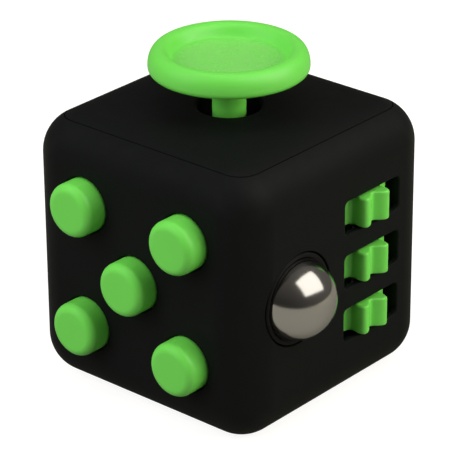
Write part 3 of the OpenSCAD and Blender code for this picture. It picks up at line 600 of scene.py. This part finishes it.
def metal(name, colour, roughness, mark_depth, lines, relief):
    """Bare or plated metal, with fine lines and faint clouds in its gloss."""
    material = surfaced(name, metal_marks, {
        "Colour": (*colour, 1), "Roughness": roughness, "Mark Depth": mark_depth, "Lines": lines}, relief)
    material.node_tree.nodes["Principled BSDF"].inputs["Metallic"].default_value = 1.0
    return material


spring_steel = metal("bright_spring_steel", (0.56, 0.56, 0.55), 0.24, 0.25, 1.0, 0.001)
zinc_steel = metal("zinc_plated_steel", (0.5, 0.5, 0.52), 0.33, 0.3, 0.6, 0.002)
dress(silicone, "click_mat")
dress(spring_steel, "snap_domes")
dress(grey_nylon, "click_plate")


def node_tree(name, *sizes):
    """An empty Geometry Nodes tree whose inputs are points, its own sizes, a turn and a material."""
    tree = bpy.data.node_groups.new(name, "GeometryNodeTree")
    tree.interface.new_socket("Geometry", in_out="OUTPUT", socket_type="NodeSocketGeometry")
    for label, kind in (("Geometry", "NodeSocketGeometry"), *((size, FLOAT) for size in sizes),
                        ("Turn", "NodeSocketVector"), ("Material", "NodeSocketMaterial")):
        tree.interface.new_socket(label, in_out="INPUT", socket_type=kind)
    return tree, tree.nodes.new("NodeGroupInput").outputs, tree.nodes.new("NodeGroupOutput").inputs


def add_node(tree, kind, links=(), values=(), **settings):
    """A node of one kind, with the sockets linked to its inputs, their values and its settings."""
    node = tree.nodes.new(kind)
    for label, value in settings.items():
        setattr(node, label, value)
    for label, source in dict(links).items():
        tree.links.new(source, node.inputs[label])
    for label, value in dict(values).items():
        node.inputs[label].default_value = value
    return node


def set_on_points(tree, shape, given, made):
    """Ends a tree: the shape on every point, turned, made real and given its material."""
    placed = add_node(tree, "GeometryNodeInstanceOnPoints", {
        "Points": given["Geometry"], "Instance": shape, "Rotation": given["Turn"]})
    real = add_node(tree, "GeometryNodeRealizeInstances", {"Geometry": placed.outputs[0]})
    coated = add_node(tree, "GeometryNodeSetMaterial", {
        "Geometry": real.outputs[0], "Material": given["Material"]})
    join(tree, (coated.outputs[0], made[0]))


def grow(name, tree, place, spots, material, sizes, values=()):
    """Runs a Geometry Nodes tree on spots of one side and keeps the result as plain mesh. Sizes are in
    millimetres."""
    mesh = bpy.data.meshes.new(name)
    mesh.from_pydata([place @ Vector(spot) for spot in spots], [], [])
    piece = bpy.data.objects.new(name, mesh)
    scene.collection.objects.link(piece)
    modifier = piece.modifiers.new(tree.name, "NODES")
    modifier.node_group = tree
    inputs = {label: size * MM for label, size in sizes.items()}
    inputs.update(values, Turn=place.to_3x3().normalized().to_euler(), Material=material)
    for item in tree.interface.items_tree:
        if item.in_out == "INPUT" and item.name in inputs:
            modifier[item.identifier] = inputs[item.name]
    settle(piece)
    return piece


def place_of(local, node):
    """Lowest and highest corner of a node in a side's own millimetres."""
    corners = [local.inverted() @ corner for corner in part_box(node)]
    return Vector(map(min, *corners)), Vector(map(max, *corners))


screw_tree, given, made = node_tree(
    "cross_head_screw", "Head Radius", "Head Height", "Shank Radius", "Shank Length", "Cross Width",
    "Cross Length", "Thread Pitch")
plus, minus, times = maths(screw_tree)
screw_node = partial(add_node, screw_tree)


def lift(shape, height):
    offset = screw_node("ShaderNodeCombineXYZ", {"Z": height}).outputs[0]
    return screw_node("GeometryNodeTransform", {"Geometry": shape, "Translation": offset}).outputs[0]


head_height, shank_length = given["Head Height"], given["Shank Length"]
chamfer = times(head_height, 0.3)
drum = screw_node("GeometryNodeMeshCylinder", {
    "Radius": given["Head Radius"], "Depth": minus(head_height, chamfer)}, {"Vertices": 40})
drum = lift(drum.outputs["Mesh"], times(plus(head_height, chamfer), 0.5))
crown = screw_node("GeometryNodeMeshCone", {
    "Radius Bottom": times(given["Head Radius"], 0.84), "Radius Top": given["Head Radius"],
    "Depth": chamfer}, {"Vertices": 40})
head = screw_node("GeometryNodeMeshBoolean", operation="UNION", solver="EXACT")
join(screw_tree, (drum, head.inputs["Mesh 2"]), (crown.outputs["Mesh"], head.inputs["Mesh 2"]))
cut_head = screw_node("GeometryNodeMeshBoolean", {"Mesh 1": head.outputs["Mesh"]},
                      operation="DIFFERENCE", solver="EXACT")
for long_way, short_way in (("X", "Y"), ("Y", "X")):
    bar = screw_node("ShaderNodeCombineXYZ", {
        long_way: given["Cross Length"], short_way: given["Cross Width"], "Z": head_height})
    cross_bar = screw_node("GeometryNodeMeshCube", {"Size": bar.outputs[0]})
    join(screw_tree, (cross_bar.outputs["Mesh"], cut_head.inputs["Mesh 2"]))
core_radius = times(given["Shank Radius"], 0.8)
core = screw_node("GeometryNodeMeshCylinder", {"Radius": core_radius, "Depth": shank_length},
                  {"Vertices": 24})
core = lift(core.outputs["Mesh"], plus(head_height, times(shank_length, 0.5)))
ridge = minus(given["Shank Radius"], core_radius)
thread_length = minus(shank_length, times(ridge, 2.0))
helix = screw_node("GeometryNodeCurveSpiral", {
    "Rotations": sum_node(screw_tree, "DIVIDE", thread_length, given["Thread Pitch"]),
    "Start Radius": core_radius, "End Radius": core_radius, "Height": thread_length}, {"Resolution": 20})
section = screw_node("GeometryNodeCurvePrimitiveCircle", {"Radius": ridge}, {"Resolution": 4})
thread = screw_node("GeometryNodeCurveToMesh", {
    "Curve": helix.outputs[0], "Profile Curve": section.outputs[0]}, {"Fill Caps": True})
thread = lift(thread.outputs[0], plus(head_height, ridge))
whole = screw_node("GeometryNodeJoinGeometry")
join(screw_tree, *((part, whole.inputs[0]) for part in (cut_head.outputs["Mesh"], core, thread)))
set_on_points(screw_tree, whole.outputs[0], given, made)
screw_head, screw_head_height, screw_radius = 1.4, 0.8, 0.8
cross_width, cross_length, thread_pitch = 0.4, 1.7, 0.5


def screws(node, place, centres, body="housing"):
    """Cross-head screws whose heads lie deepest behind the surface and whose shanks point outwards."""
    low, high = place_of(place, node)
    group = grow(f"{node}_set", screw_tree, place, [(*centre, low.z) for centre in centres], zinc_steel, {
        "Head Radius": screw_head, "Head Height": screw_head_height, "Shank Radius": screw_radius,
        "Shank Length": high.z - low.z - screw_head_height, "Cross Width": cross_width,
        "Cross Length": cross_length, "Thread Pitch": thread_pitch})
    finish_piece(group, zinc_steel, body, [node])


pitch = button_centres[1][0]
screws("click_screws", front, [(0, pitch), (pitch, 0), (0, -pitch), (-pitch, 0)])

# ---------------------------------------------------------------- joystick
# A green disc with a thick round rim and a finely stippled floor, moulded in one piece with its stem.
# The stem leans on a crossed pair of pins inside a nylon ring, and a coil spring stands it up again.
stick_low, stick_high = place_of(top, "joystick")
disc_radius, stem_radius, stem_fillet, foot_radius, foot_height = stick_high.x, 1.95, 0.35, 2.7, 0.8
rim_thick, floor_thick, rim_wide, rim_top_round, rim_side, rim_under_round = 2.7, 1.3, 2.9, 1.2, 0.75, 0.45
disc_under = stick_high.z - rim_thick
disc_floor = disc_under + floor_thick
stick_profile = [(0, stick_low.z)] + bevelled(foot_radius, stick_low.z, stick_low.z + foot_height)
stick_profile += [(stem_radius, stick_low.z + foot_height)]
stick_profile += arc((stem_radius + stem_fillet, disc_under - stem_fillet), stem_fillet, 180, 90, 5)
stick_profile += [(disc_radius - 2 * rim_under_round, disc_under)]
stick_profile += arc((disc_radius - rim_under_round, disc_under + 0.6), rim_under_round, -90, 0, 6,
                     stretch=1.33)
stick_profile += arc((disc_radius - rim_top_round, disc_under + rim_side), rim_top_round, 0, 90, 14,
                     stretch=(rim_thick - rim_side) / rim_top_round)
crest, foot = disc_radius - rim_top_round, disc_radius - rim_wide
rim_height, slope_steps, slope_power, floor_fillet = stick_high.z - disc_floor, 12, 1.9, 0.4
for step in range(1, slope_steps + 1):
    down = step / slope_steps
    stick_profile.append((foot + (crest - foot) * (1 - down),
                          disc_floor + rim_height * (0.5 + 0.5 * math.cos(math.pi * down ** slope_power))))
stick_profile += [(foot - floor_fillet, disc_floor), (0, disc_floor)]
joystick = lathe("joystick_disc", stick_profile, top, steps=160)
pivot = (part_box("stem_pin")[0].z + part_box("stem_pin")[1].z) / 2 / MM - 2 * half
pin_bore, pin_reach = 0.5, 3
across_stem = face((1, 0, 0), (0, 0, 1), (0, -1, 0), (0, pin_reach, 2 * half + pivot))
pin_loops = [circle(pin_bore, end, steps=32) for end in (0, 2 * pin_reach)]
carve(joystick, [loft("cutter", pin_loops, across_stem)])

stippled_floor, given, made = node_group(
    "stippled_floor", {"Radius": foot * MM, "Height": (2 * half + disc_floor) * MM}, ("Floor", "Stipple"))
plus, minus, times = maths(stippled_floor)
floor_sum, place = partial(sum_node, stippled_floor), own_place(stippled_floor)
dot_size, side_fade, level_fade = 0.22 * MM, 0.5 * MM, 0.25 * MM
split, dots = (stippled_floor.nodes.new(f"ShaderNode{kind}") for kind in ("SeparateXYZ", "TexVoronoi"))
dots.inputs["Scale"].default_value = 1 / dot_size
join(stippled_floor, (place, split.inputs[0]), (place, dots.inputs["Vector"]))
squares = [floor_sum("POWER", split.outputs[axis], 2.0) for axis in ("X", "Y")]
reach = floor_sum("POWER", plus(*squares), 0.5)
within = times(minus(given["Radius"], reach), 1 / side_fade, clamp=True)
level = floor_sum("ABSOLUTE", minus(split.outputs["Z"], given["Height"]))
flat = minus(1.0, times(level, 1 / level_fade, clamp=True), clamp=True)
on_floor = times(within, flat)
join(stippled_floor, (on_floor, made["Floor"]),
     (times(dots.outputs["Distance"], on_floor), made["Stipple"]))
# The paler green is a painted sheen: the disc's stippled floor is painted lighter to stand in for light
# hazing off the stipple, and it is made glossier there too.
green_disc = plastic("green_plastic_with_stippled_floor", green_colour, 0.38, 0.07, 0.003, tone_spread=0.08,
                     wear_and_sheen_colour=(0.165, 0.53, 0.1))
tree = green_disc.node_tree
floor_mask, surface = put_group(tree, stippled_floor), tree.nodes["surface"]
plus, minus, times = maths(tree)
pits = times(floor_mask.outputs["Stipple"], 5.0)
join(tree, (times(floor_mask.outputs["Floor"], 1.6), surface.inputs["Wear And Sheen"]),
     (plus(surface.outputs["Height"], pits), tree.nodes["relief"].inputs["Height"]))
finish_piece(joystick, green_disc, "joystick", ["joystick"], crease=50)
dress(zinc_steel, "stem_pin")
dress(grey_nylon, "gimbal_ring", "joystick_frame")
frame_reach = place_of(top, "joystick_screws")[1].y - screw_head
screws("joystick_screws", top, [(0, frame_reach), (0, -frame_reach)])

coil_tree, given, made = node_tree(
    "wire_coil", "Turns", "Start Radius", "End Radius", "Height", "Wire Radius")
helix = add_node(coil_tree, "GeometryNodeCurveSpiral", {
    "Rotations": given["Turns"], "Start Radius": given["Start Radius"], "End Radius": given["End Radius"],
    "Height": given["Height"]}, {"Resolution": 48})
wire = add_node(coil_tree, "GeometryNodeCurvePrimitiveCircle", {"Radius": given["Wire Radius"]},
                {"Resolution": 14})
swept = add_node(coil_tree, "GeometryNodeCurveToMesh", {
    "Curve": helix.outputs[0], "Profile Curve": wire.outputs[0]}, {"Fill Caps": True})
set_on_points(coil_tree, swept.outputs[0], given, made)


def coil(name, node, place, turns, start_radius, end_radius, wire):
    """A spring of round wire that fills the height of a node's box."""
    low, high = place_of(place, node)
    piece = grow(name, coil_tree, place, [(0, 0, low.z + wire)], spring_steel, {
        "Start Radius": start_radius, "End Radius": end_radius, "Height": high.z - low.z - 2 * wire,
        "Wire Radius": wire}, {"Turns": turns})
    finish_piece(piece, spring_steel, "housing", [node])
    return piece


coil("centring_spring_coil", "centring_spring", top, 3.5, 2, 2, 0.25)

# ---------------------------------------------------------------- top cover and dust boot
# The top is a separate moulding that snaps into the body on four beads. A pleated black rubber boot
# closes the hole that the joystick's stem leans in.
skirt_low, cover_under = place_of(top, "top_cover")[0].z, cover_ledge - 2 * half
stem_hole, stem_hole_lip, stem_hole_deep = 3.65, 0.45, 4
skirt_outer, skirt_inner, skirt_overlap = inside - 0.1, inside - 1.3, 0.3
top_cover = rounded_cube("top_cover_moulding")
carve(top_cover, [loft("cutter", [outline(2 * cover_half, 2 * cover_half, cover_corner, 0, z)
                                  for z in (cover_ledge, 2 * half + 1)], cube_place)], "INTERSECT")
carve(top_cover, [box("skirt", (-skirt_outer, -skirt_outer, skirt_low),
                      (skirt_outer, skirt_outer, cover_under + skirt_overlap), top)], "UNION")
carve(top_cover, [box("cutter", (-skirt_inner, -skirt_inner, skirt_low - 1),
                      (skirt_inner, skirt_inner, cover_under), top),
                  round_hole(stem_hole, stem_hole_lip, stem_hole_deep, top)])
finish_piece(top_cover, black_shell, "housing", ["top_cover"])

rubber = plastic("black_rubber", (0.011, 0.011, 0.011), 0.68, 0.08, 0.008, specular=0.3, tone_spread=0.3)
boot_low, boot_high = place_of(top, "dust_boot")
boot_inner, boot_outer, boot_lip = 2.0, boot_high.x, 0.25
pleat_round, pleat_outside = 0.35, 0.4
pleat_reach, pleat_level = 2 * boot_lip + pleat_round, boot_low.z + 2 * boot_lip + pleat_round
boot_profile = arc((boot_inner + boot_lip, boot_high.z - boot_lip), boot_lip, 180, 0, 6)
boot_profile += arc((boot_inner + pleat_reach, pleat_level), pleat_round, 180, 270, 5)
boot_profile += arc((boot_outer - pleat_reach, pleat_level), pleat_round, 270, 360, 5)
boot_profile += arc((boot_outer - boot_lip, boot_high.z - boot_lip), boot_lip, 180, 0, 6)
boot_profile += arc((boot_outer - pleat_outside, boot_low.z + pleat_outside), pleat_outside, 0, -90, 5)
boot_profile += arc((boot_inner + pleat_outside, boot_low.z + pleat_outside), pleat_outside, 270, 180, 5)
dust_boot = lathe("dust_boot_rubber", boot_profile, top, ring=True)
finish_piece(dust_boot, rubber, "housing", ["dust_boot"])

# ---------------------------------------------------------------- thumb gears
# Three green gears with seven soft teeth turn side by side on one polished shaft. Their edges are
# rounded, and a comb of steel fingers behind them gives each its clicks.
gear_radius, tooth_depth, teeth, gear_thick, gear_phase = 4.15, 1.28, 7, 3.6, 21
gear_bore, gear_edge, gear_steps = 1.05, 0.28, 168


def gear_loop(inset, height):
    """Round the teeth, drawn in by a little, at one height."""
    points = []
    for k in range(gear_steps):
        a = math.tau * k / gear_steps
        reach = gear_radius - tooth_depth * (1 - math.cos(teeth * a)) / 2
        slope = -tooth_depth * teeth * math.sin(teeth * a) / 2
        outward, along = Vector((math.cos(a), math.sin(a))), Vector((-math.sin(a), math.cos(a)))
        normal = outward * reach - along * slope
        points.append((*(outward * reach - normal.normalized() * inset), height))
    return points


edge_turns = [math.radians(90 * k / 5) for k in range(6)]
side_half = gear_thick / 2
for number, (across, up) in enumerate(gear_centres, 1):
    low, high = place_of(right, f"gear_{number}")
    hub_half = (high.y - low.y) / 2
    hub_profile = [(gear_bore, -hub_half)] + bevelled(gear_hub, -hub_half, hub_half)[:2]
    hub_profile.append((gear_hub, -side_half))
    loops = [circle(radius, height, steps=gear_steps) for radius, height in hub_profile]
    loops += [gear_loop(gear_edge * (1 - math.sin(t)), gear_edge * (1 - math.cos(t)) - side_half)
              for t in edge_turns]
    loops += [[(x, y, -z) for x, y, z in loop] for loop in reversed(loops)]
    axis = (right @ Vector((across, up, gear_axis))) / MM
    stand = face((1, 0, 0), (0, 1, 0), (0, 0, 1), axis) @ Matrix.Rotation(math.radians(gear_phase), 4, "Z")
    gear = loft(f"thumb_gear_{number}", loops, stand, ring=True)
    finish_piece(gear, green, f"gear_{number}", [f"gear_{number}"], crease=40)
polished_steel = metal("polished_steel", (0.5, 0.49, 0.46), 0.15, 0.12, 0.25, 0.0003)
dress(polished_steel, "gear_shaft")
dress(spring_steel, "gear_detent_spring")

# ---------------------------------------------------------------- ball, cup and roll carrier
# A polished steel ball rolls in a black plastic cup. The cup presses in against a cone spring like a
# sixth button, and a nylon carrier screwed to the wall holds it with the gear shaft.
ball_low, ball_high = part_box("steel_ball")
ball_radius, ball_middle = (ball_high.z - ball_low.z) / 2, (ball_low + ball_high) / 2
shape = bmesh.new()
bmesh.ops.create_cube(shape, size=2)
bmesh.ops.subdivide_edges(shape, edges=shape.edges, cuts=23, use_grid_fill=True)
for vertex in shape.verts:
    even = Vector([math.tan(c * math.pi / 4) for c in vertex.co])
    vertex.co = ball_middle + even.normalized() * ball_radius
steel_ball = new_piece("rolling_ball", shape)
finish_piece(steel_ball, polished_steel, "ball", ["steel_ball"])

cup_plastic = plastic("black_cup_plastic", (0.0045, 0.0045, 0.0045), 0.6, 0.09, 0.005, specular=0.15,
                      tone_spread=0.3)
cup_place = right @ Matrix.Translation((*ball_centre, 0))
cup_low, cup_high = place_of(cup_place, "ball_cup")
ball_depth = place_of(cup_place, "steel_ball")[1].z - ball_radius / MM
bowl_inner, bowl_outer = ball_radius / MM + 0.05, ball_radius / MM + 0.9
rim_inset, cup_edge, ear_half, ear_overlap = 0.15, 0.2, 1.5, 0.4
ear_low, ear_high = -wall - 0.85, -wall - 0.05
inner_rim = math.degrees(math.asin((cup_high.z - rim_inset - ball_depth) / bowl_inner))
outer_start = math.degrees(math.asin(max(-1, (cup_low.z - ball_depth) / bowl_outer)))
outer_end = -math.degrees(math.acos(min(1, cup_radius / bowl_outer)))
cup_profile = [(0, cup_low.z)] + arc((0, ball_depth), bowl_outer, outer_start, outer_end, 20)
cup_profile += [(cup_radius, cup_high.z - cup_edge)]
cup_profile += arc((cup_radius - cup_edge, cup_high.z - cup_edge), cup_edge, 0, 90, 5)
cup_profile += arc((0, ball_depth), bowl_inner, inner_rim, -90, 24)
ball_cup = lathe("ball_cup_moulding", cup_profile, cup_place)
ear_reaches = ((cup_low.y, ear_overlap - cup_radius), (cup_radius - ear_overlap, cup_high.y))
carve(ball_cup, [box("ear", (-ear_half, low, ear_low), (ear_half, high, ear_high), cup_place)
                 for low, high in ear_reaches], "UNION")
finish_piece(ball_cup, cup_plastic, "ball_cup", ["ball_cup"], crease=40)

cone_low, cone_high = place_of(cup_place, "ball_spring")
cone_spring = coil("ball_cone_spring", "ball_spring", cup_place, 2.6, cone_high.x - 0.15, 1.35, 0.14)
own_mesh(cone_spring)
dress(grey_nylon, "roll_carrier")
roll_low, roll_high = place_of(right, "roll_screws")
screws("roll_screws", right, [(x, y) for x in (roll_low.x + screw_head, roll_high.x - screw_head)
                              for y in (roll_low.y + screw_head, roll_high.y - screw_head)])

# ---------------------------------------------------------------- flip rocker
# A green two-way rocker with a hollowed top tips on a steel pin. A tail under it snaps across a leaf
# spring in a nylon bracket.
hollow_middle, rocker_end, rocker_under, under_round, nose, nose_rise = 2.5, 3.9, 0.5, 0.3, 1.0, 0.03
rocker_hub, rocker_tail, tail_half, tail_tip, rocker_bevel, pin_gap = 1.9, 4.9, 0.7, 0.45, 0.45, 0.05
hollow_rise = rocker_end - hollow_middle
hollow_radius = ((rocker_length / 2) ** 2 + hollow_rise ** 2) / (2 * hollow_rise)
rest_lean = math.radians(8)


def rocker_side(steps=12):
    """Half of the rocker's side outline, from the middle of its hollow to the tip of its tail."""
    reach = rocker_length / 2 - nose * 0.9
    spots = [(x, hollow_middle + hollow_radius - math.sqrt(hollow_radius ** 2 - x ** 2))
             for x in (reach * k / steps for k in range(steps + 1))]
    spots += arc((rocker_length / 2 - nose, spots[-1][1] - nose + nose_rise), nose, 80, 0, 7)
    spots += arc((rocker_length / 2 - under_round, rocker_under + under_round), under_round, 0, -90, 4)
    start = math.degrees(math.asin(rocker_under / rocker_hub))
    end = -math.degrees(math.acos(tail_half / rocker_hub))
    spots += arc((0, 0), rocker_hub, start, end, 10)
    return spots + arc((0, -rocker_tail), tail_tip, 0, -90, 5)


half_side = rocker_side()
side = half_side + [(-x, y) for x, y in reversed(half_side[1:-1])]
rocker_place = back @ Matrix.Translation((0, 0, rocker_pin_depth)) @ Matrix.Rotation(rest_lean, 4, "X")
rocker_ends = (-rocker_width / 2, rocker_width / 2)
rocker = loft("flip_rocker_key", [[(x, u, w) for u, w in side] for x in rocker_ends], rocker_place)
bore = [[(2 * x, y, z) for y, z, _ in circle(rocker_pin + pin_gap, steps=40)] for x in rocker_ends]
bevel = rocker.modifiers.new("rounded edges", "BEVEL")
bevel.width, bevel.segments = rocker_bevel * MM, 5
bevel.limit_method, bevel.angle_limit = "ANGLE", math.radians(60)
carve(rocker, [loft("cutter", bore, rocker_place)])
finish_piece(rocker, green, "rocker", ["flip_rocker"])
dress(zinc_steel, "flip_pin")
dress(spring_steel, "flip_leaf_spring")
dress(grey_nylon, "flip_bracket")
flip_low, flip_high = place_of(back, "flip_screws")
screws("flip_screws", back, [(0, flip_low.y + screw_head), (0, flip_high.y - screw_head)])

# ---------------------------------------------------------------- spin dial
# A green dial with scalloped edges and one finger dimple turns in a round seat. Behind the wall a
# nylon wheel is screwed to its hub, and a bowed steel strip clicks in the wheel's notches.
dial_low, dial_high = place_of(left, "spin_dial")
hub_low, dial_rise = dial_low.z, dial_high.z
grips, grip_depth, grip_floor, grip_fade, seat_edge, dial_round = 24, 0.25, 0.2, 0.1, 0.15, 0.45
dial_under, dial_steps = 0.1 - dial_recess, grips * 10


def dial_loop(inset, height, fluted):
    """Round the dial, drawn in by a little, with its grips cut in by a share of their depth."""
    points = []
    for k in range(dial_steps):
        a = math.tau * k / dial_steps
        wave = max(0.0, -math.cos(grips * a) - 0.1) / 0.9
        reach = dial_radius - inset - grip_depth * fluted * wave ** 1.5
        points.append((reach * math.cos(a), reach * math.sin(a), height))
    return points


hub_profile = [(0.0, hub_low)] + bevelled(dial_hub, hub_low, dial_under)[:2] + [(dial_hub, dial_under)]
dial_loops = [circle(radius, height, steps=dial_steps) for radius, height in hub_profile]
dial_loops += [dial_loop(seat_edge, dial_under, 0), dial_loop(0, dial_under + seat_edge, 0),
               dial_loop(0, grip_floor - grip_fade, 0), dial_loop(0, grip_floor + grip_fade, 1)]
dial_loops += [dial_loop(dial_round * (1 - math.cos(t)), dial_rise - dial_round * (1 - math.sin(t)), 1)
               for t in (math.radians(90 * k / 8) for k in range(9))]
dial_loops += [dial_loop(dial_round + 0.4, dial_rise, 0.5), dial_loop(dial_round + 0.8, dial_rise, 0),
               circle(0.0, dial_rise, steps=dial_steps)]
dial = loft("spin_dial_knob", dial_loops, left)
dimple_radius, dimple_depth, dimple_place, dial_bore, bore_depth = 2.2, 1.0, dial_radius - 3.3, 0.8, 1.9
dimple_profile = hollow(dimple_radius, dimple_depth, 0, 5)
dimple_profile += [(dimple_radius - 0.02, -0.1), (dimple_radius + 0.12, -0.03), (dimple_radius + 0.28, 0.02),
                   (dimple_radius + 0.3, 1.0), (0, 1.0)]
dimple = lathe("cutter", dimple_profile, left @ Matrix.Translation((0, dimple_place, dial_rise)))
bore_ends = (hub_low - 0.5, hub_low + bore_depth)
screw_bore = loft("cutter", [circle(dial_bore, end, steps=40) for end in bore_ends], left)
carve(dial, [dimple, screw_bore])
finish_piece(dial, green, "dial", ["spin_dial"], crease=40)
dress(grey_nylon, "dial_detent_wheel")
dress(spring_steel, "dial_detent_spring")
screws("dial_screw", left, [(0, 0)], body="dial")

# ---------------------------------------------------------------- size of everything shown
low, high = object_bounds()
